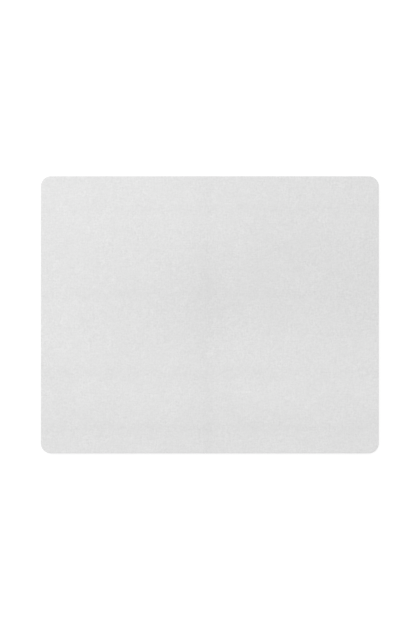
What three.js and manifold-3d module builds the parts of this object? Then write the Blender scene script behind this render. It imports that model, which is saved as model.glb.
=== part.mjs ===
// A cloth-faced mouse pad: fine polyester cloth, bonded by a film to a sheet of foamed rubber with a zigzag
// tread, and die-cut through all three layers to a rectangle with rounded corners.
// Millimetres, +Z up. The origin is the middle of the underside, +X runs along the long side and +Y along
// the short side, away from the user.
import * as THREE from 'three';
import { mergeVertices } from 'three/addons/utils/BufferGeometryUtils.js';
import Module from 'manifold-3d';

// Outline of the die
const PAD_WIDTH = 220;
const PAD_DEPTH = 180.5;
const CORNER_RADIUS = 6.5;

// Layers, from the desk up
const BASE_THICKNESS = 2.4; // from the crests of the tread to the film
const FILM_THICKNESS = 0.15;
const CLOTH_THICKNESS = 0.45;

// Die-cut edge
const CLOTH_ROLL = 0.4; // radius of the cloth's upper edge, which the die presses over
const WALL_DISH = 0.25; // how far the rubber wall draws in at half its height

// Tread: grooves that run along X in zigzags, a rib between each two
const RIB_PITCH = 6.2; // from one rib to the next, along Y
const GROOVE_WIDTH = 1.8; // at the groove's floor, along Y
const GROOVE_FLARE = 0.3; // how much wider each side is at the desk than at the floor
const GROOVE_DEPTH = 0.5;
const ZIGZAG_LEG = 8; // from one bend to the next, along X
const ZIGZAG_REACH = 4.5; // from the near bends to the far bends, along Y
const EDGE_RIB = 2; // least width of the rib along the front edge and the back edge

// Fineness of the curves
const CORNER_FACETS = 10; // in a corner's quarter circle
const ROLL_FACETS = 6; // in the rolled edge's quarter circle
const WALL_FACETS = 4; // up the dished wall

// Heights of the layers' faces above the desk
const FILM_BOTTOM = BASE_THICKNESS;
const CLOTH_BOTTOM = FILM_BOTTOM + FILM_THICKNESS;
const PAD_TOP = CLOTH_BOTTOM + CLOTH_THICKNESS;

const CLOTH_FINISH = { color: '#e0e0e0', roughness: 0.95, metalness: 0 };
const FILM_FINISH = { color: '#d8d5ca', roughness: 0.55, metalness: 0 };
const RUBBER_FINISH = { color: '#1e1e1f', roughness: 0.9, metalness: 0 };

const wasm = await Module();
wasm.setup();

// The centres of the four corner arcs are the corners of this rectangle.
const arcCentres = new THREE.Box2(
  new THREE.Vector2(CORNER_RADIUS - PAD_WIDTH / 2, CORNER_RADIUS - PAD_DEPTH / 2),
  new THREE.Vector2(PAD_WIDTH / 2 - CORNER_RADIUS, PAD_DEPTH / 2 - CORNER_RADIUS),
);

// The die's rounded rectangle: four quarter arcs, joined by straight sides.
function dieOutline() {
  const { min, max } = arcCentres;
  const quarter = Math.PI / 2;
  const outline = new THREE.Shape();
  outline.absarc(max.x, max.y, CORNER_RADIUS, 0, quarter);
  outline.absarc(min.x, max.y, CORNER_RADIUS, quarter, 2 * quarter);
  outline.absarc(min.x, min.y, CORNER_RADIUS, 2 * quarter, 3 * quarter);
  outline.absarc(max.x, min.y, CORNER_RADIUS, 3 * quarter, 4 * quarter);
  return outline;
}

// A layer of the pad. Its edge is a list of points up the wall: x is how far the wall lies inside the die's
// outline there, and y is the height above the desk.
function layerGeometry(edge) {
  const rings = edge.length - 1;
  const geometry = new THREE.ExtrudeGeometry(dieOutline(), {
    depth: rings,
    steps: rings,
    bevelEnabled: false,
    curveSegments: CORNER_FACETS / 2, // three.js gives an arc two facets for each
  });
  const position = geometry.getAttribute('position');
  const point = new THREE.Vector2();
  const centre = new THREE.Vector2();
  for (let i = 0; i < position.count; i += 1) {
    const ring = edge[Math.round(position.getZ(i))];
    point.fromBufferAttribute(position, i);
    arcCentres.clampPoint(point, centre);
    point.sub(centre).multiplyScalar(1 - ring.x / CORNER_RADIUS).add(centre);
    position.setXYZ(i, point.x, point.y, ring.y);
  }
  return geometry;
}

function clothGeometry() {
  const roll = Math.min(CLOTH_ROLL, CLOTH_THICKNESS);
  const edge = new THREE.Path();
  edge.moveTo(0, CLOTH_BOTTOM);
  edge.lineTo(0, PAD_TOP - roll);
  edge.absarc(roll, PAD_TOP - roll, roll, Math.PI, Math.PI / 2, true);
  return layerGeometry(edge.getPoints(ROLL_FACETS / 2));
}

function filmGeometry() {
  return layerGeometry([new THREE.Vector2(0, FILM_BOTTOM), new THREE.Vector2(0, CLOTH_BOTTOM)]);
}

// The rubber sheet before its tread: the wall bows inwards, as foam does behind the die.
function sheetGeometry() {
  const edge = new THREE.Path();
  edge.moveTo(0, 0);
  edge.quadraticCurveTo(2 * WALL_DISH, BASE_THICKNESS / 2, 0, BASE_THICKNESS);
  return layerGeometry(edge.getPoints(WALL_FACETS));
}

// The space of one groove: a straight bar of the groove's section, longer than the pad, whose rings are
// moved to the near and the far bends by turns. It reaches below the desk by as much as it is deep.
function grooveGeometry(middleY) {
  const floorHalf = GROOVE_WIDTH / 2;
  const mouthHalf = floorHalf + 2 * GROOVE_FLARE;
  const section = new THREE.Shape();
  section.moveTo(-mouthHalf, -GROOVE_DEPTH);
  section.lineTo(mouthHalf, -GROOVE_DEPTH);
  section.lineTo(floorHalf, GROOVE_DEPTH);
  section.lineTo(-floorHalf, GROOVE_DEPTH);

  const legs = 2 * Math.ceil(PAD_WIDTH / 2 / ZIGZAG_LEG) + 1;
  const bar = new THREE.ExtrudeGeometry(section, { depth: legs, steps: legs, bevelEnabled: false });
  const position = bar.getAttribute('position');
  for (let i = 0; i < position.count; i += 1) {
    const bend = Math.round(position.getZ(i));
    const shift = bend % 2 === 0 ? -ZIGZAG_REACH / 2 : ZIGZAG_REACH / 2;
    const x = (bend - legs / 2) * ZIGZAG_LEG;
    position.setXYZ(i, x, middleY + shift + position.getX(i), position.getY(i));
  }
  return bar;
}

// A closed geometry as a solid that can be cut
function solidFrom(geometry) {
  geometry.deleteAttribute('normal');
  geometry.deleteAttribute('uv');
  const merged = mergeVertices(geometry);
  return new wasm.Manifold(new wasm.Mesh({
    numProp: 3,
    vertProperties: merged.getAttribute('position').array,
    triVerts: Uint32Array.from(merged.getIndex().array),
  }));
}

function geometryFrom(solid) {
  const { vertProperties, triVerts } = solid.getMesh();
  const geometry = new THREE.BufferGeometry();
  geometry.setAttribute('position', new THREE.BufferAttribute(vertProperties, 3));
  geometry.setIndex(new THREE.BufferAttribute(triVerts, 1));
  geometry.computeVertexNormals();
  return geometry;
}

// The rubber base: the sheet with its grooves cut. A rib runs along the middle line, with as many grooves on
// each side of it as leave a whole rib along the front and the back edge. The grooves run off the left and
// right edges.
function baseGeometry() {
  const furthest = PAD_DEPTH / 2 - EDGE_RIB - GROOVE_WIDTH / 2 - GROOVE_FLARE - ZIGZAG_REACH / 2;
  let base = solidFrom(sheetGeometry());
  for (let middleY = RIB_PITCH / 2; middleY <= furthest; middleY += RIB_PITCH) {
    base = base.subtract(solidFrom(grooveGeometry(middleY)));
    base = base.subtract(solidFrom(grooveGeometry(-middleY)));
  }
  return geometryFrom(base);
}

function piece(name, geometry, finish) {
  const mesh = new THREE.Mesh(geometry, new THREE.MeshStandardMaterial(finish));
  mesh.name = name;
  return mesh;
}

const mousePad = new THREE.Group();
mousePad.name = 'mouse_pad';
mousePad.add(
  piece('rubber_base', baseGeometry(), RUBBER_FINISH),
  piece('bonding_film', filmGeometry(), FILM_FINISH),
  piece('cloth_face', clothGeometry(), CLOTH_FINISH),
);

export default mousePad;
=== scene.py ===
"""A cloth-faced mouse pad: its woven face, glue film and treaded rubber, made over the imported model.

Metres, in the model's frame: +X along the width, +Y away from the user, +Z up, and the desk at 0.
"""

import math

import bmesh
import bpy
import numpy as np
from bpy.props import FloatProperty, FloatVectorProperty, PointerProperty
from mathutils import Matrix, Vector


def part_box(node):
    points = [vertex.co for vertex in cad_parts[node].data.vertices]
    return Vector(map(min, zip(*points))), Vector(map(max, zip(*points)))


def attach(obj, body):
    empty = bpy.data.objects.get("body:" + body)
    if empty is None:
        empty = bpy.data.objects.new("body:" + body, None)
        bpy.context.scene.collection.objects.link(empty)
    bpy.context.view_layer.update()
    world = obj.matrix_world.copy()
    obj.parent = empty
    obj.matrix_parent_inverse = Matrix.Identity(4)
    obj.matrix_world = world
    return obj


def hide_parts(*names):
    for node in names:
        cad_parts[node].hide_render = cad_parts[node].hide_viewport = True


bl_info = {
    "name": "Cloth-Faced Mouse Pad",
    "version": (1, 0, 0),
    "blender": (4, 5, 0),
    "location": "View3D > Sidebar > Mouse Pad",
    "description": "Makes the cloth, glue film and rubber of a mouse pad, and a stage to see it on",
    "category": "Object",
}

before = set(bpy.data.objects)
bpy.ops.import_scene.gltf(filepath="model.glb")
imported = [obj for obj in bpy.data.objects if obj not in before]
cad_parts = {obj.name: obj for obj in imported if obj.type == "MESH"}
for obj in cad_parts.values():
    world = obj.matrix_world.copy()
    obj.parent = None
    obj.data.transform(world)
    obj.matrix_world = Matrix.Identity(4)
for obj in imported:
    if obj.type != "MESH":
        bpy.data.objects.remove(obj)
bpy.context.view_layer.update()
CLOTH_LOW, CLOTH_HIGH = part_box("cloth_face")
FILM_LOW, FILM_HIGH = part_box("bonding_film")
RUBBER_LOW, RUBBER_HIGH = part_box("rubber_base")

MM = 0.001

# The photograph's frame, and the pad's outline in it, in pixels
PHOTO_WIDTH = 420
PHOTO_HEIGHT = 630
PAD_LEFT, PAD_RIGHT = 40.80, 378.75
PAD_UPPER, PAD_LOWER = 176.20, 453.40

# Fineness of the meshes
CORNER_STEPS = 12
TREAD_CORNER_STEPS = 40
ROLL_STEPS = 6
BEND_STEPS = 4
ROUND_STEPS = 2
WALL_RINGS = 6
CLOTH_SPACING = 1.5 * MM
FILM_SPACING = 10 * MM
WELD = 0.001 * MM
MICROMETRE_DIGITS = 6
SHARP_ANGLE = math.radians(38)
FLOOR_GAP = 0.05 * MM
FLOOR_HALF = 8.0

# Nearly all of a mottle's values lie between minus and plus this
MOTTLE_SPREAD = 0.6

# The map through which a piece's materials are baked to textures
MAP_NAME = "OFBake"
MAP_MARGIN = 1 * MM


def length(name, description, default):
    """A size in metres."""
    return FloatProperty(
        name=name, description=description, default=default, min=0, precision=5, unit="LENGTH"
    )


def place(name, description, default):
    """A distance from the pad's middle in metres."""
    return FloatProperty(name=name, description=description, default=default, precision=4, unit="LENGTH")


def share(name, description, default):
    """A share from none to all."""
    return FloatProperty(
        name=name, description=description, default=default, min=0, max=1, precision=3, subtype="FACTOR"
    )


def pair(name, description, default):
    """Two shares, for the two ends of something."""
    return FloatVectorProperty(
        name=name, description=description, default=default, min=0, max=1, size=2, precision=3
    )


def fold_reach(fold, default):
    """Half the width of the shade along a fold."""
    return length(f"{fold} Reach", "How far to each side of that fold its shade fades out", default)


def fold_tones(fold, default):
    """How dark the shade along a fold is."""
    return pair(f"{fold} Tones", "How dark that shade is at the left edge and in the right half", default)


def colour(name, description, default):
    """A surface colour."""
    return FloatVectorProperty(
        name=name, description=description, default=default, min=0, max=1, size=3, subtype="COLOR"
    )


class PadShape(bpy.types.PropertyGroup):
    """The die-cut outline and edge."""

    corner_radius: length("Corner Radius", "Radius of the die's four corners", 6.5 * MM)
    cloth_roll: length("Cloth Roll", "Radius of the cloth's pressed-over upper edge", 0.4 * MM)
    wall_dish: length("Wall Dish", "How far the rubber wall draws in at half its height", 0.25 * MM)
    film_setback: length("Film Setback", "How far the glue film lies behind the cut edge", 0.03 * MM)


class PadFolds(bpy.types.PropertyGroup):
    """The faint folds that storage has left in the cloth, and the painted shade along and beside them."""

    # Painted shade: each fold's tones darken the cloth's colour along and beside it, from the left edge to
    # the right half.
    upright_place: place("Upright Place", "Where the fold along the depth lies", -1 * MM)
    upright_reach: fold_reach("Upright", 22 * MM)
    upright_tones: fold_tones("Upright", (0.017, 0.017))
    level_place: place("Level Place", "Where the fold along the width lies", 13 * MM)
    level_reach: fold_reach("Level", 58 * MM)
    level_tones: fold_tones("Level", (0.005, 0.046))
    far_place: place("Far Place", "Where the fold between the level one and the far edge lies", 68 * MM)
    far_reach: fold_reach("Far", 12 * MM)
    far_tones: fold_tones("Far", (0.003, 0.003))
    near_place: place("Near Place", "Where the fold between the level one and the front lies", -39 * MM)
    near_reach: fold_reach("Near", 12 * MM)
    near_tones: fold_tones("Near", (0.007, 0.007))
    front_place: place("Front Place", "Where the fold along the front edge lies", -74 * MM)
    front_reach: fold_reach("Front", 26 * MM)
    front_tones: fold_tones("Front", (0.021, 0.02))
    crease_reach: length("Crease Reach", "How far to each side of a fold its crease fades out", 5 * MM)
    # Painted shade: a crease also darkens the cloth's colour, besides the shallow dip it sinks to.
    crease_shade_tone: share("Crease Tone", "How much more a crease darkens the cloth", 0.009)
    crease_depth: length("Crease Depth", "How deep the cloth sinks in each crease", 0.05 * MM)
    level_rim: length("Level Rim", "Width of the border in which the cloth becomes level", 9 * MM)
    # Painted shade: the far right quarter is darkened in the cloth's colour.
    quarter_shade_tone: share("Nap Tone", "How much darker the nap of the far right quarter lies", 0.027)
    quarter_shade_reach: length("Nap Reach", "Width from the folds over which that nap turns", 37 * MM)
    wander_patch: length("Wander Patch", "Length over which the shades beside the folds wander", 45 * MM)
    wander_reach: length("Wander Reach", "How far those shades wander", 5 * MM)

    def lines(self):
        """Each fold's axis that it crosses, place, reach and tones."""
        return (
            ("X", self.upright_place, self.upright_reach, self.upright_tones),
            ("Y", self.level_place, self.level_reach, self.level_tones),
            ("Y", self.far_place, self.far_reach, self.far_tones),
            ("Y", self.near_place, self.near_reach, self.near_tones),
            ("Y", self.front_place, self.front_reach, self.front_tones),
        )


class PadTread(bpy.types.PropertyGroup):
    """The zigzag tread of the underside."""

    rib_pitch: length("Rib Pitch", "From one rib to the next", 6.2 * MM)
    groove_width: length("Groove Width", "Width of a groove's floor", 1.8 * MM)
    groove_flare: length("Groove Flare", "How much each side widens towards the desk", 0.3 * MM)
    groove_depth: length("Groove Depth", "Height of the ribs", 0.5 * MM)
    zigzag_leg: length("Zigzag Leg", "From one bend to the next, along the width", 8 * MM)
    zigzag_reach: length("Zigzag Reach", "From the near bends to the far bends", 4.5 * MM)
    edge_rib: length("Edge Rib", "Least width of the rib along the front and back edges", 2 * MM)
    rib_round: length("Rib Round", "How far from a rib's corner its moulded round starts", 0.14 * MM)
    bend_round: length("Bend Round", "How far from a bend its moulded round starts", 0.9 * MM)


class PadFinish(bpy.types.PropertyGroup):
    """Colours and textures of the three materials."""

    cloth_colour: colour("Cloth", "White of the cloth", (0.75, 0.75, 0.75))
    rubber_colour: colour("Rubber", "Black of the rubber", (0.013, 0.013, 0.0135))
    bloom_colour: colour("Bloom", "Pale bloom and dust that lie on the rubber", (0.075, 0.074, 0.072))
    film_colour: colour("Film", "Tint of the glue film", (0.68, 0.66, 0.59))
    yarn_pitch: length("Yarn Pitch", "From one yarn of the cloth to the next", 0.4 * MM)
    # Painted highlight and shade: the weave's crowns lighter and the gaps between yarns darker in colour.
    weave_shade_tone: share("Yarn Tone", "How much lighter the crowns of the weave are", 0.04)
    sway_patch: length("Sway Patch", "Size of the places where the yarns lie to one side", 2.5 * MM)
    sway_reach: length("Sway Reach", "How far to the side the yarns lie there", 0.25 * MM)
    slub_width: length("Slub Width", "Width of the thick and thin places of the yarns", 0.8 * MM)
    slub_length: length("Slub Length", "Length of those places", 4 * MM)
    slub_tone: share("Slub Tone", "How much those places show", 0.04)
    fuzz_size: length("Fuzz Size", "Size of the tufts of loose fibres", 1.12 * MM)
    fuzz_tone: share("Fuzz Tone", "How much those tufts show", 0.081)
    wear_patch: length("Wear Patch", "Size of the places where the grain is more or less worn", 8 * MM)
    wear_share: share("Wear Share", "How much more or less the grain shows there", 0.4)
    cloud_size: length("Cloud Size", "Size of the cloth's broad uneven places", 40 * MM)
    cloud_tone: share("Cloud Tone", "How much those places show", 0.038)
    cloth_roughness: pair("Cloth Roughness", "Of its thin yarns and of its thick ones", (0.98, 0.84))
    cloth_relief: length("Cloth Relief", "Height of the yarns' relief", 0.05 * MM)
    flow_size: length("Flow Size", "Size of the places where the film has flowed", 2.5 * MM)
    film_roughness: pair("Film Roughness", "Of its dull places and of its glossy ones", (0.62, 0.4))
    film_relief: length("Film Relief", "Height of the film's relief", 0.03 * MM)
    cell_size: length("Cell Size", "Size of the foam's cut cells in the wall", 0.3 * MM)
    pebble_size: length("Pebble Size", "Size of the pebbles of the rubber's skin", 0.22 * MM)
    bloom_patch: length("Bloom Patch", "Size of the places where more or less bloom lies", 14 * MM)
    rubber_roughness: pair("Rubber Roughness", "Of its clean places and of its dusty ones", (0.62, 0.9))
    rubber_relief: length("Rubber Relief", "Height of the cells' and pebbles' relief", 0.06 * MM)


class PadStage(bpy.types.PropertyGroup):
    """Light and camera."""

    key_power: FloatProperty(
        name="Key Power", description="Power of the lamp at the upper left", default=7.2, min=0, unit="POWER"
    )
    key_place: FloatVectorProperty(
        name="Key Place", description="Where that lamp stands", default=(-0.81, 0.78, 0.9), unit="LENGTH"
    )
    key_size: length("Key Size", "Side of the lamp's square", 0.9)
    room_light: share("Room Light", "Level of the even light from all round", 0.822)
    lens: FloatProperty(
        name="Lens", description="Focal length", default=85, min=1, subtype="DISTANCE_CAMERA"
    )


class PadSettings(bpy.types.PropertyGroup):
    """All that a user may change."""

    shape: PointerProperty(type=PadShape)
    folds: PointerProperty(type=PadFolds)
    tread: PointerProperty(type=PadTread)
    finish: PointerProperty(type=PadFinish)
    stage: PointerProperty(type=PadStage)


# Outline and layers


def clamped(value, limit):
    """The value, held between minus and plus the limit."""
    return max(-limit, min(limit, value))


def eased(way):
    """A smooth step from 0 to 1."""
    t = max(0.0, min(1.0, way))
    return t * t * (3 - 2 * t)


class DieOutline:
    """The rounded rectangle that the die cuts, which a layer may draw in by an inset."""

    def __init__(self, low, high, radius):
        self.radius = radius
        self.arc_x = (high.x - low.x) / 2 - radius
        self.arc_y = (high.y - low.y) / 2 - radius

    def half_depth(self, x, inset):
        """How far the outline lies from the X axis at x."""
        past_arc = max(abs(x) - self.arc_x, 0)
        return self.arc_y + math.sqrt(max((self.radius - inset) ** 2 - past_arc**2, 0))

    def nearest_centre(self, x, y):
        """The point from which the outline is drawn by its radius."""
        return Vector((clamped(x, self.arc_x), clamped(y, self.arc_y)))

    def at_inset(self, point, inset):
        """The point of the outline that lies straight out from the given one."""
        centre = self.nearest_centre(point.x, point.y)
        return centre + (point.xy - centre).normalized() * (self.radius - inset)

    def edge_distance(self, x, y):
        """How far inside the outline a point lies."""
        past_centre = (Vector((x, y)) - self.nearest_centre(x, y)).length
        if past_centre > 0:
            return self.radius - past_centre
        return self.radius + min(self.arc_x - abs(x), self.arc_y - abs(y))

    def turns(self, steps, inset):
        """Places along X round the right-hand corners, by equal angles."""
        angles = [math.pi / 2 * step / steps for step in range(1, steps + 1)]
        return [self.arc_x + (self.radius - inset) * math.sin(angle) for angle in angles]

    def columns(self, spacing, inset):
        """Places along X: even over the straight sides, and round the corners."""
        count = math.ceil(2 * self.arc_x / spacing)
        straight = [self.arc_x * (2 * i / count - 1) for i in range(count + 1)]
        turns = self.turns(CORNER_STEPS, inset)
        return [-x for x in reversed(turns)] + straight + turns

    def rows(self, spacing):
        """Places along Y, even over the whole depth."""
        reach = self.arc_y + self.radius
        count = math.ceil(2 * reach / spacing)
        return [reach * (2 * i / count - 1) for i in range(count + 1)]


def fill_outline(mesh, columns, column_points):
    """Spans faces between columns of equally many points, and welds those that meet at the outline."""
    grid = [[mesh.verts.new((x, y, z)) for y, z in column_points(x)] for x in columns]
    for left, right in zip(grid, grid[1:]):
        for near_left, near_right, far_right, far_left in zip(left, right, right[1:], left[1:]):
            mesh.faces.new((near_left, near_right, far_right, far_left))
    bmesh.ops.remove_doubles(mesh, verts=mesh.verts, dist=WELD)


def draw_in(mesh, outline, inset_at):
    """Moves the rim in by its height's inset, and what lies behind it by less and less, so nothing folds."""
    for corner in mesh.verts:
        from_edge = outline.edge_distance(corner.co.x, corner.co.y)
        if from_edge < outline.radius:
            moved = inset_at(corner.co.z) * (1 - from_edge / outline.radius)
            corner.co.xy = outline.at_inset(corner.co, from_edge + moved)


def open_rim(mesh):
    """The corners round an open face, one after another."""
    sides = [edge.link_loops[0] for edge in mesh.edges if edge.is_boundary]
    following = {side.vert: side.link_loop_next.vert for side in sides}
    rim = [sides[0].vert]
    while following[rim[-1]] != rim[0]:
        rim.append(following[rim[-1]])
    return rim


def close_layer(mesh, outline, rings):
    """Carries the rim through rings of (inset, height), closes the last one with a face, and maps it all."""
    shown = set(mesh.faces)
    rim = open_rim(mesh)
    for inset, height in rings:
        ring = [mesh.verts.new((*outline.at_inset(corner.co, inset), height)) for corner in rim]
        for side in range(len(rim)):
            mesh.faces.new((rim[side], rim[side - 1], ring[side - 1], ring[side]))
        rim = ring
    hidden = mesh.faces.new(rim)
    bmesh.ops.recalc_face_normals(mesh, faces=mesh.faces)
    lay_flat(mesh, outline, shown, hidden)


def lay_flat(mesh, outline, shown, hidden):
    """Maps a piece: the shown face, the wall opened out round it, and the hidden face as a strip."""
    layer = mesh.loops.layers.uv.new(MAP_NAME)
    closed = hidden.verts[0].co.z
    level = max((corner.co.z for corner in mesh.verts), key=lambda z: abs(z - closed))
    border = outline.radius + abs(level - closed) + MAP_MARGIN
    reach_x = outline.arc_x + border
    reach_y = outline.arc_y + border
    # The map is square, and the strip takes the height that the face and its wall leave free.
    strip_share = (reach_x - reach_y) / reach_y

    def flat_place(face, point):
        if face in shown:
            return point.xy
        if face == hidden:
            return Vector((point.x, reach_y + (reach_y + point.y) * strip_share))
        opened = outline.edge_distance(point.x, point.y) - abs(point.z - level)
        return outline.at_inset(point, opened)

    for face in mesh.faces:
        for corner in face.loops:
            flat = flat_place(face, corner.vert.co)
            corner[layer].uv = (flat + Vector((reach_x, reach_y))) / (2 * reach_x)


def make_piece(name, mesh, material, node):
    """Makes an object of a finished mesh, which stands for a node of the model."""
    data = bpy.data.meshes.new(name)
    mesh.to_mesh(data)
    mesh.free()
    data.shade_smooth()
    data.set_sharp_from_angle(angle=SHARP_ANGLE)
    data.materials.append(material)
    piece = bpy.data.objects.new(name, data)
    bpy.context.scene.collection.objects.link(piece)
    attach(piece, "root")
    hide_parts(node)
    return piece


# Shader nodes


class NodeTree:
    """Adds nodes to one tree. An input takes a value, or another node's output."""

    def __init__(self, tree):
        self.tree = tree

    def node(self, kind, inputs=None, **settings):
        made = self.tree.nodes.new(kind)
        for name, value in settings.items():
            setattr(made, name, value)
        for name, value in (inputs or {}).items():
            self.feed(made.inputs[name], value)
        return made

    def feed(self, socket, value):
        if isinstance(value, bpy.types.NodeSocket):
            self.tree.links.new(value, socket)
        else:
            socket.default_value = value

    def math(self, operation, *values):
        return self.node("ShaderNodeMath", dict(enumerate(values)), operation=operation).outputs[0]

    def total(self, *values):
        added = values[0]
        for value in values[1:]:
            added = self.math("ADD", added, value)
        return added

    def vector(self, operation, first, second):
        return self.node("ShaderNodeVectorMath", {0: first, 1: second}, operation=operation).outputs[0]

    def scaled(self, vector, factor):
        return self.vector("MULTIPLY", vector, (factor,) * 3)

    def axes(self, vector):
        return self.node("ShaderNodeSeparateXYZ", {"Vector": vector}).outputs

    def ramp(self, value, low, high, start=0.0, end=1.0):
        """The value, spread smoothly from low..high to start..end and held there."""
        spread = {"Value": value, "From Min": low, "From Max": high, "To Min": start, "To Max": end}
        return self.node("ShaderNodeMapRange", spread, interpolation_type="SMOOTHSTEP").outputs["Result"]

    def line(self, value, middle, reach):
        """1 where the value is at the middle, fading to 0 at the reach from it."""
        away = self.math("ABSOLUTE", self.math("SUBTRACT", value, middle))
        return self.ramp(away, 0.0, reach, 1.0, 0.0)

    def blended(self, share, first, second):
        """The first value, changed by that share into the second."""
        away = self.math("SUBTRACT", second, first)
        return self.math("MULTIPLY_ADD", away, share, first)

    def toned(self, plain, tone):
        """A colour, made lighter or darker by the tone."""
        shifted = {"Color": (*plain, 1.0), "Value": tone}
        return self.node("ShaderNodeHueSaturation", shifted).outputs["Color"]

    def mixed(self, factor, first, second):
        mix = self.node("ShaderNodeMix", {"Factor": factor}, data_type="RGBA")
        from_socket, to_socket = (socket for socket in mix.inputs if socket.type == "RGBA")
        self.feed(from_socket, (*first, 1.0))
        self.feed(to_socket, (*second, 1.0))
        return next(socket for socket in mix.outputs if socket.type == "RGBA")

    def mottle(self, vector, patch, detail=1.0, roughness=0.5):
        """Soft patches of about that size."""
        given = {"Vector": vector, "Patch": patch, "Detail": detail, "Roughness": roughness}
        return self.node("ShaderNodeGroup", given, node_tree=mottle_group()).outputs

    def bumped(self, height, distance, strength):
        relief = {"Height": height, "Distance": distance, "Strength": strength}
        return self.node("ShaderNodeBump", relief).outputs["Normal"]


def mottle_group():
    """Soft uneven patches, as a value and as an offset to each side, both from about -1 to 1."""
    name = "mottle"
    if name in bpy.data.node_groups:
        return bpy.data.node_groups[name]
    group = bpy.data.node_groups.new(name, "ShaderNodeTree")
    sockets = group.interface
    sockets.new_socket(name="Vector", in_out="INPUT", socket_type="NodeSocketVector")
    for socket in ("Patch", "Detail", "Roughness"):
        sockets.new_socket(name=socket, in_out="INPUT", socket_type="NodeSocketFloat")
    sockets.new_socket(name="Value", in_out="OUTPUT", socket_type="NodeSocketFloat")
    sockets.new_socket(name="Offset", in_out="OUTPUT", socket_type="NodeSocketVector")
    tree = NodeTree(group)
    given = tree.node("NodeGroupInput").outputs
    noise = {
        "Vector": given["Vector"],
        "Scale": tree.math("DIVIDE", 1.0, given["Patch"]),
        "Detail": given["Detail"],
        "Roughness": given["Roughness"],
    }
    patches = tree.node("ShaderNodeTexNoise", noise).outputs
    value = tree.math("MULTIPLY_ADD", patches["Fac"], 2.0, -1.0)
    halves = tree.vector("SUBTRACT", patches["Color"], (0.5, 0.5, 0.5))
    offset = tree.vector("MULTIPLY", halves, (2.0, 2.0, 2.0))
    tree.node("NodeGroupOutput", {"Value": value, "Offset": offset})
    return group


def new_material(name):
    """An empty node material: its tree, its shader and its coordinates in metres."""
    material = bpy.data.materials.new(name)
    material.use_nodes = True
    material.node_tree.nodes.clear()
    tree = NodeTree(material.node_tree)
    shader = tree.node("ShaderNodeBsdfPrincipled")
    tree.node("ShaderNodeOutputMaterial", {"Surface": shader.outputs["BSDF"]})
    spot = tree.node("ShaderNodeTexCoord").outputs["Object"]
    return material, tree, shader, spot


def cloth_material(finish, folds):
    """White polyester cloth: a plain weave of uneven yarns, with painted highlight and shade on the weave,
    and painted shade along the folds and in the far right quarter.
    """
    material, tree, shader, spot = new_material("white_cloth")

    sway = tree.scaled(tree.mottle(spot, finish.sway_patch)["Offset"], finish.sway_reach)
    weave = plain_weave(tree, tree.vector("ADD", spot, sway), finish.yarn_pitch)

    drawn_out = finish.slub_width / finish.slub_length
    along_width = tree.vector("MULTIPLY", spot, (drawn_out, 1, 1))
    along_depth = tree.vector("MULTIPLY", spot, (1, drawn_out, 1))
    weft_slubs = tree.mottle(along_width, finish.slub_width)["Value"]
    warp_slubs = tree.mottle(along_depth, finish.slub_width)["Value"]
    slubs = tree.math("ADD", weft_slubs, warp_slubs)
    fuzz = tree.mottle(spot, finish.fuzz_size)["Value"]
    clouds = tree.mottle(spot, finish.cloud_size, detail=5.0, roughness=0.85)["Value"]

    # The weave term is painted highlight on the crowns and painted shade between the yarns.
    grain = tree.total(
        tree.math("MULTIPLY", tree.ramp(weave, 0.0, 1.0, -1.0, 1.0), finish.weave_shade_tone),
        tree.math("MULTIPLY", slubs, finish.slub_tone),
        tree.math("MULTIPLY", fuzz, finish.fuzz_tone),
    )
    wear = tree.mottle(spot, finish.wear_patch, detail=3.0, roughness=0.6)["Value"]
    kept = tree.ramp(wear, -MOTTLE_SPREAD, MOTTLE_SPREAD, 1 - finish.wear_share, 1 + finish.wear_share)
    # The fold term in this tone is painted shade in the cloth's colour.
    tone = tree.total(
        tree.math("MULTIPLY", grain, kept),
        tree.math("MULTIPLY", clouds, finish.cloud_tone),
        tree.math("SUBTRACT", 1.0, painted_fold_shade(tree, spot, folds)),
    )
    tree.feed(shader.inputs["Base Color"], tree.toned(finish.cloth_colour, tone))
    tree.feed(shader.inputs["Roughness"], tree.ramp(slubs, -1.0, 1.0, *finish.cloth_roughness))
    relief = tree.total(weave, slubs, fuzz)
    tree.feed(shader.inputs["Normal"], tree.bumped(relief, finish.cloth_relief, strength=0.5))
    shader.inputs["Specular IOR Level"].default_value = 0.25
    shader.inputs["Sheen Weight"].default_value = 0.15
    shader.inputs["Sheen Roughness"].default_value = 0.5
    return material


def plain_weave(tree, spot, pitch):
    """How high the yarn on top lies: 0 between the yarns, and 1 along the crown of each crossing."""
    turned = tree.axes(tree.scaled(spot, math.pi / pitch))
    warp = tree.math("SINE", turned["X"])
    weft = tree.math("SINE", turned["Y"])
    edge = 0.05
    warp_on_top = tree.ramp(tree.math("MULTIPLY", warp, weft), -edge, edge)

    def crown(from_side, from_end):
        fully_up = 0.6
        return tree.math("MULTIPLY", tree.math("SQRT", from_side), tree.ramp(from_end, 0.0, fully_up))

    from_warp = tree.math("ABSOLUTE", warp)
    from_weft = tree.math("ABSOLUTE", weft)
    return tree.blended(warp_on_top, crown(from_weft, from_warp), crown(from_warp, from_weft))


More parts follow.
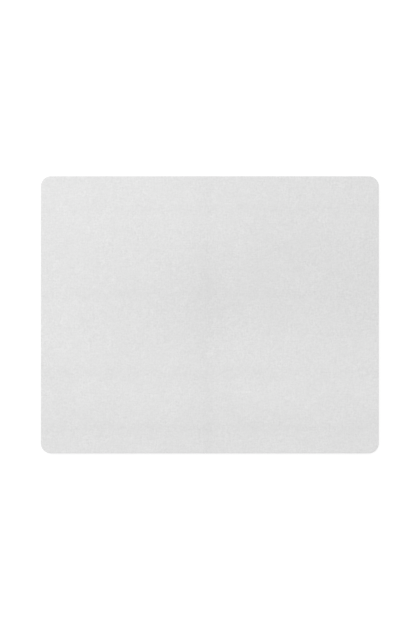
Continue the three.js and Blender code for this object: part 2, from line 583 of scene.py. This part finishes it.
def painted_fold_shade(tree, spot, folds):
    """Painted shade: how much darker the cloth's colour is in its creases, beside them, and in its far right
    quarter.
    """
    straight = tree.axes(spot)
    wander = tree.scaled(tree.mottle(spot, folds.wander_patch)["Offset"], folds.wander_reach)
    wandering = tree.axes(tree.vector("ADD", spot, wander))
    # Painted shade over the far right quarter, and along and beside each fold and crease.
    past_upright = tree.ramp(wandering["X"], folds.upright_place, folds.upright_place + folds.quarter_shade_reach)
    past_level = tree.ramp(wandering["Y"], folds.level_place, folds.level_place + folds.quarter_shade_reach)
    quarter = tree.math("MULTIPLY", past_upright, past_level)
    shades = [tree.math("MULTIPLY", quarter, folds.quarter_shade_tone)]
    for axis, middle, reach, (left, right) in folds.lines():
        strength = tree.ramp(wandering["X"], CLOTH_LOW.x, 0.0, left, right)
        shades.append(tree.math("MULTIPLY", tree.line(wandering[axis], middle, reach), strength))
        crease = tree.line(straight[axis], middle, folds.crease_reach)
        shades.append(tree.math("MULTIPLY", crease, folds.crease_shade_tone))
    return tree.total(*shades)


def film_material(finish):
    """Dull hot-melt film, uneven where it has flowed."""
    material, tree, shader, spot = new_material("glue_film")
    flow = tree.mottle(spot, finish.flow_size, detail=3.0)["Value"]
    darkest, palest = 0.82, 1.08
    tone = tree.ramp(flow, -MOTTLE_SPREAD, MOTTLE_SPREAD, darkest, palest)
    roughness = tree.ramp(flow, -MOTTLE_SPREAD, MOTTLE_SPREAD, *finish.film_roughness)
    tree.feed(shader.inputs["Base Color"], tree.toned(finish.film_colour, tone))
    tree.feed(shader.inputs["Roughness"], roughness)
    tree.feed(shader.inputs["Normal"], tree.bumped(flow, finish.film_relief, strength=0.3))
    return material


def rubber_material(finish, groove_depth):
    """Black foamed rubber: cut cells in the wall, a pebbled skin below, and bloom in the grooves."""
    material, tree, shader, spot = new_material("black_rubber")
    facing = tree.node("ShaderNodeNewGeometry").outputs["Normal"]
    levelness = tree.math("ABSOLUTE", tree.axes(facing)["Z"])
    steep, slanted = 0.25, 0.6
    skin = tree.ramp(levelness, steep, slanted)
    cut = tree.math("SUBTRACT", 1.0, skin)

    pattern = {"Vector": spot, "Scale": 1 / finish.cell_size}
    from_pit = tree.node("ShaderNodeTexVoronoi", pattern).outputs["Distance"]
    pit_edge, between_pits = 0.2, 0.65
    membranes = tree.math("MULTIPLY", tree.ramp(from_pit, pit_edge, between_pits), cut)
    pebbles = tree.mottle(spot, finish.pebble_size, detail=2.0)["Value"]

    on_ribs, in_grooves, on_membranes, thinnest = 0.06, 0.8, 0.6, 0.3
    rib_edge = 0.05 * groove_depth
    settled = tree.ramp(tree.axes(spot)["Z"], rib_edge, groove_depth, on_ribs, in_grooves)
    patches = tree.mottle(spot, finish.bloom_patch, detail=3.0)["Value"]
    lying = tree.ramp(patches, -MOTTLE_SPREAD, MOTTLE_SPREAD, thinnest, 1.0)
    bloom = tree.math("MULTIPLY", tree.math("MULTIPLY", settled, lying), skin)
    pale = tree.math("MULTIPLY_ADD", membranes, on_membranes, bloom)
    tree.feed(shader.inputs["Base Color"], tree.mixed(pale, finish.rubber_colour, finish.bloom_colour))

    cleanest, dustiest = -0.4, 0.8
    dust = tree.math("ADD", pale, pebbles)
    tree.feed(shader.inputs["Roughness"], tree.ramp(dust, cleanest, dustiest, *finish.rubber_roughness))
    pebble_share = 0.4
    relief = tree.math("MULTIPLY_ADD", pebbles, pebble_share, membranes)
    tree.feed(shader.inputs["Normal"], tree.bumped(relief, finish.rubber_relief, strength=0.6))
    return material


# Pieces


class MOUSEPAD_OT_rubber(bpy.types.Operator):
    """Make the rubber base with its zigzag tread and dished wall"""

    bl_idname = "mouse_pad.rubber"
    bl_label = "Rubber Base"

    def execute(self, context):
        settings = context.scene.mouse_pad
        tread = settings.tread
        dish = settings.shape.wall_dish
        outline = DieOutline(RUBBER_LOW, RUBBER_HIGH, settings.shape.corner_radius)
        across = tread_section(tread, RUBBER_HIGH.y)
        section_y = [y for y, _ in across]
        section_z = [z for _, z in across]

        def column_points(x):
            limit = outline.half_depth(x, 0)
            shift = zigzag(tread, x)
            places = [clamped(y + shift, limit) for y in section_y]
            return [(y, np.interp(y - shift, section_y, section_z)) for y in places]

        def wall_inset(z):
            """A parabola that is deepest at half the height."""
            risen = z / RUBBER_HIGH.z
            return 4 * dish * risen * (1 - risen)

        mesh = bmesh.new()
        fill_outline(mesh, tread_columns(tread, outline), column_points)
        draw_in(mesh, outline, wall_inset)
        rise = (RUBBER_HIGH.z - tread.groove_depth) / WALL_RINGS
        heights = [tread.groove_depth + rise * ring for ring in range(1, WALL_RINGS + 1)]
        close_layer(mesh, outline, [(wall_inset(z), z) for z in heights])
        material = rubber_material(settings.finish, tread.groove_depth)
        piece = make_piece("treaded_rubber", mesh, material, "rubber_base")
        return {"FINISHED"}


def tread_section(tread, half_depth):
    """The underside from front to back where the zigzag crosses its middle, as (y, z)."""
    floor_half = tread.groove_width / 2
    mouth_half = floor_half + tread.groove_flare
    furthest = half_depth - tread.edge_rib - mouth_half - tread.zigzag_reach / 2
    count = math.floor((furthest - tread.rib_pitch / 2) / tread.rib_pitch) + 1
    middles = [(row + 0.5) * tread.rib_pitch for row in range(-count, count)]
    past_edge = half_depth + tread.zigzag_reach
    corners = [(-past_edge, 0)]
    for middle in middles:
        corners.append((middle - mouth_half, 0))
        corners.append((middle - floor_half, tread.groove_depth))
        corners.append((middle + floor_half, tread.groove_depth))
        corners.append((middle + mouth_half, 0))
    corners.append((past_edge, 0))
    return rounded(corners, tread.rib_round)


def rounded(corners, reach):
    """A line through corners, each cut off by a curve that starts and ends at that reach from it."""
    line = [corners[0]]
    for before, corner, after in zip(corners, corners[1:], corners[2:]):
        middle = Vector(corner)
        start = middle + (Vector(before) - middle).normalized() * reach
        end = middle + (Vector(after) - middle).normalized() * reach
        for step in range(ROUND_STEPS + 1):
            t = step / ROUND_STEPS
            line.append(tuple(start.lerp(middle, t).lerp(middle.lerp(end, t), t)))
    return line + [corners[-1]]


def zigzag(tread, x):
    """How far the ribs are moved along Y at x, with the bends rounded."""
    leg = tread.zigzag_leg
    slope = tread.zigzag_reach / leg
    bend = math.floor(x / leg + 0.5)
    from_middle = x - bend * leg
    from_bend = max(abs(from_middle) - leg / 2 + tread.bend_round, 0)
    straight = abs(from_middle) * slope
    softened = straight - slope * from_bend**2 / (2 * tread.bend_round)
    direction = math.copysign(1, from_middle) * (1 if bend % 2 == 0 else -1)
    return direction * softened


def tread_columns(tread, outline):
    """Places along X: round each bend of the zigzag, with a straight leg between, and round the corners."""
    right = [outline.arc_x, *outline.turns(TREAD_CORNER_STEPS, 0)]
    places = {*right, *(-x for x in right)}
    edge = outline.arc_x + outline.radius
    bends = math.ceil(edge / tread.zigzag_leg)
    for bend in range(-bends, bends):
        middle = (bend + 0.5) * tread.zigzag_leg
        places.update(middle + tread.bend_round * (2 * i / BEND_STEPS - 1) for i in range(BEND_STEPS + 1))
    return sorted({round(x, MICROMETRE_DIGITS) for x in places if abs(x) <= edge})


class MOUSEPAD_OT_film(bpy.types.Operator):
    """Make the glue film between the cloth and the rubber"""

    bl_idname = "mouse_pad.film"
    bl_label = "Glue Film"

    def execute(self, context):
        settings = context.scene.mouse_pad
        setback = settings.shape.film_setback
        outline = DieOutline(FILM_LOW, FILM_HIGH, settings.shape.corner_radius)
        rows = outline.rows(FILM_SPACING)

        def column_points(x):
            limit = outline.half_depth(x, setback)
            return [(clamped(y, limit), FILM_HIGH.z) for y in rows]

        mesh = bmesh.new()
        fill_outline(mesh, outline.columns(FILM_SPACING, setback), column_points)
        middle = (FILM_LOW.z + FILM_HIGH.z) / 2
        close_layer(mesh, outline, [(setback / 2, middle), (setback, FILM_LOW.z)])
        make_piece("glue_line", mesh, film_material(settings.finish), "bonding_film")
        return {"FINISHED"}


class MOUSEPAD_OT_cloth(bpy.types.Operator):
    """Make the cloth face with its rolled edge and shallow folds"""

    bl_idname = "mouse_pad.cloth"
    bl_label = "Cloth Face"

    def execute(self, context):
        settings = context.scene.mouse_pad
        roll = settings.shape.cloth_roll
        folds = settings.folds
        outline = DieOutline(CLOTH_LOW, CLOTH_HIGH, settings.shape.corner_radius)
        rows = outline.rows(CLOTH_SPACING)

        def column_points(x):
            limit = outline.half_depth(x, roll)
            places = [clamped(y, limit) for y in rows]
            return [(y, CLOTH_HIGH.z - sunk(folds, x, y, outline.edge_distance(x, y) - roll)) for y in places]

        mesh = bmesh.new()
        fill_outline(mesh, outline.columns(CLOTH_SPACING, roll), column_points)
        angles = [math.pi / 2 * step / ROLL_STEPS for step in range(1, ROLL_STEPS + 1)]
        rings = [(roll * (1 - math.sin(a)), CLOTH_HIGH.z - roll * (1 - math.cos(a))) for a in angles]
        close_layer(mesh, outline, rings + [(0, CLOTH_LOW.z)])
        material = cloth_material(settings.finish, folds)
        piece = make_piece("woven_face", mesh, material, "cloth_face")

        return {"FINISHED"}


def sunk(folds, x, y, from_rim):
    """How far the cloth lies below its highest level: in its creases, but not at the rim."""
    crossings = {"X": x, "Y": y}
    depth = 0.0
    for axis, middle, _, _ in folds.lines():
        depth += folds.crease_depth * (1 - eased(abs(crossings[axis] - middle) / folds.crease_reach))
    return depth * eased(from_rim / folds.level_rim)


# Stage


class MOUSEPAD_OT_stage(bpy.types.Operator):
    """Make the floor, the light and the camera"""

    bl_idname = "mouse_pad.stage"
    bl_label = "Stage"

    def execute(self, context):
        settings = context.scene.mouse_pad.stage
        context.scene.view_settings.view_transform = "Standard"
        make_floor(context.scene)
        make_room_light(context.scene, settings)
        make_key_lamp(context.scene, settings)
        make_camera(context.scene, settings)
        return {"FINISHED"}


def grey(tone):
    """A neutral colour, from black at 0 to white at 1."""
    return (tone, tone, tone, 1)


def seen_directly(tree, path):
    """1 for what the camera sees straight, in a reflection or through glass, and 0 for light on surfaces."""
    mirrored = tree.math("MAXIMUM", path["Is Glossy Ray"], path["Is Transmission Ray"])
    return tree.math("MAXIMUM", path["Is Camera Ray"], mirrored)


def make_floor(scene):
    """A wide white floor that keeps a faint shadow of the pad, and isn't there for a view from below."""
    level = RUBBER_LOW.z - FLOOR_GAP
    rim = [(-1, -1), (1, -1), (1, 1), (-1, 1)]
    mesh = bpy.data.meshes.new("floor")
    mesh.from_pydata([(x * FLOOR_HALF, y * FLOOR_HALF, level) for x, y in rim], [], [(0, 1, 2, 3)])
    floor = bpy.data.objects.new("floor", mesh)
    scene.collection.objects.link(floor)

    material = bpy.data.materials.new("white_floor")
    material.use_nodes = True
    material.node_tree.nodes.clear()
    tree = NodeTree(material.node_tree)
    path = tree.node("ShaderNodeLightPath").outputs
    paper_tone, shadow_tone, glow_level = 0.8, 0.3, 0.8
    paper = tree.node("ShaderNodeBsdfDiffuse", {"Color": grey(paper_tone)}).outputs[0]
    shaded = tree.node("ShaderNodeBsdfDiffuse", {"Color": grey(shadow_tone)}).outputs[0]
    glow = tree.node("ShaderNodeEmission", {"Color": grey(1), "Strength": glow_level}).outputs[0]
    shown = tree.node("ShaderNodeAddShader", {0: shaded, 1: glow}).outputs[0]
    above = tree.node("ShaderNodeMixShader", {0: seen_directly(tree, path), 1: paper, 2: shown}).outputs[0]
    behind = tree.node("ShaderNodeNewGeometry").outputs["Backfacing"]
    below = tree.math("MAXIMUM", behind, path["Transparent Depth"])
    clear = tree.node("ShaderNodeBsdfTransparent").outputs[0]
    surface = tree.node("ShaderNodeMixShader", {0: below, 1: above, 2: clear}).outputs[0]
    tree.node("ShaderNodeOutputMaterial", {"Surface": surface})
    mesh.materials.append(material)


def make_room_light(scene, settings):
    """Even white light from all round, and a white background."""
    world = bpy.data.worlds.new("white_room")
    world.use_nodes = True
    world.node_tree.nodes.clear()
    tree = NodeTree(world.node_tree)
    seen = seen_directly(tree, tree.node("ShaderNodeLightPath").outputs)
    light = {"Color": grey(1), "Strength": tree.ramp(seen, 0, 1, settings.room_light, 1)}
    background = tree.node("ShaderNodeBackground", light).outputs["Background"]
    tree.node("ShaderNodeOutputWorld", {"Surface": background})
    scene.world = world


def make_key_lamp(scene, settings):
    """A large soft lamp at the upper left of the photograph."""
    lamp = bpy.data.lights.new("key", "AREA")
    lamp.shape = "SQUARE"
    lamp.size = settings.key_size
    lamp.energy = settings.key_power
    key = bpy.data.objects.new("key", lamp)
    key.location = settings.key_place
    key.rotation_mode = "QUATERNION"
    key.rotation_quaternion = (-key.location).to_track_quat("-Z", "Y")
    scene.collection.objects.link(key)


def make_camera(scene, settings):
    """Looks straight down, from where the pad's outline fills the same pixels as in the photograph."""
    camera = bpy.data.cameras.new("camera")
    camera.lens = settings.lens
    pixel = (CLOTH_HIGH.x - CLOTH_LOW.x) / (PAD_RIGHT - PAD_LEFT)
    right = (PHOTO_WIDTH / 2 - (PAD_LEFT + PAD_RIGHT) / 2) * pixel
    up = ((PAD_UPPER + PAD_LOWER) / 2 - PHOTO_HEIGHT / 2) * pixel
    distance = camera.lens / camera.sensor_width * PHOTO_HEIGHT * pixel
    viewer = bpy.data.objects.new("camera", camera)
    viewer.location = (right, up, CLOTH_HIGH.z + distance)
    scene.collection.objects.link(viewer)
    scene.camera = viewer


class MOUSEPAD_PT_panel(bpy.types.Panel):
    """Lists the pieces, the stage and their settings"""

    bl_idname = "MOUSEPAD_PT_panel"
    bl_label = "Mouse Pad"
    bl_space_type = "VIEW_3D"
    bl_region_type = "UI"
    bl_category = "Mouse Pad"

    def draw(self, context):
        for operator in OPERATORS:
            self.layout.operator(operator.bl_idname)
        settings = context.scene.mouse_pad
        for group in (settings.shape, settings.folds, settings.tread, settings.finish, settings.stage):
            box = self.layout.box()
            for name in group.__annotations__:
                box.prop(group, name)


OPERATORS = (MOUSEPAD_OT_rubber, MOUSEPAD_OT_film, MOUSEPAD_OT_cloth, MOUSEPAD_OT_stage)
GROUPS = (PadShape, PadFolds, PadTread, PadFinish, PadStage, PadSettings)
CLASSES = (*GROUPS, *OPERATORS, MOUSEPAD_PT_panel)


def register():
    for kind in CLASSES:
        bpy.utils.register_class(kind)
    bpy.types.Scene.mouse_pad = PointerProperty(type=PadSettings)


def unregister():
    del bpy.types.Scene.mouse_pad
    for kind in reversed(CLASSES):
        bpy.utils.unregister_class(kind)


def main():
    register()
    bpy.ops.mouse_pad.rubber()
    bpy.ops.mouse_pad.film()
    bpy.ops.mouse_pad.cloth()
    bpy.ops.mouse_pad.stage()


if __name__ == "__main__":
    main()
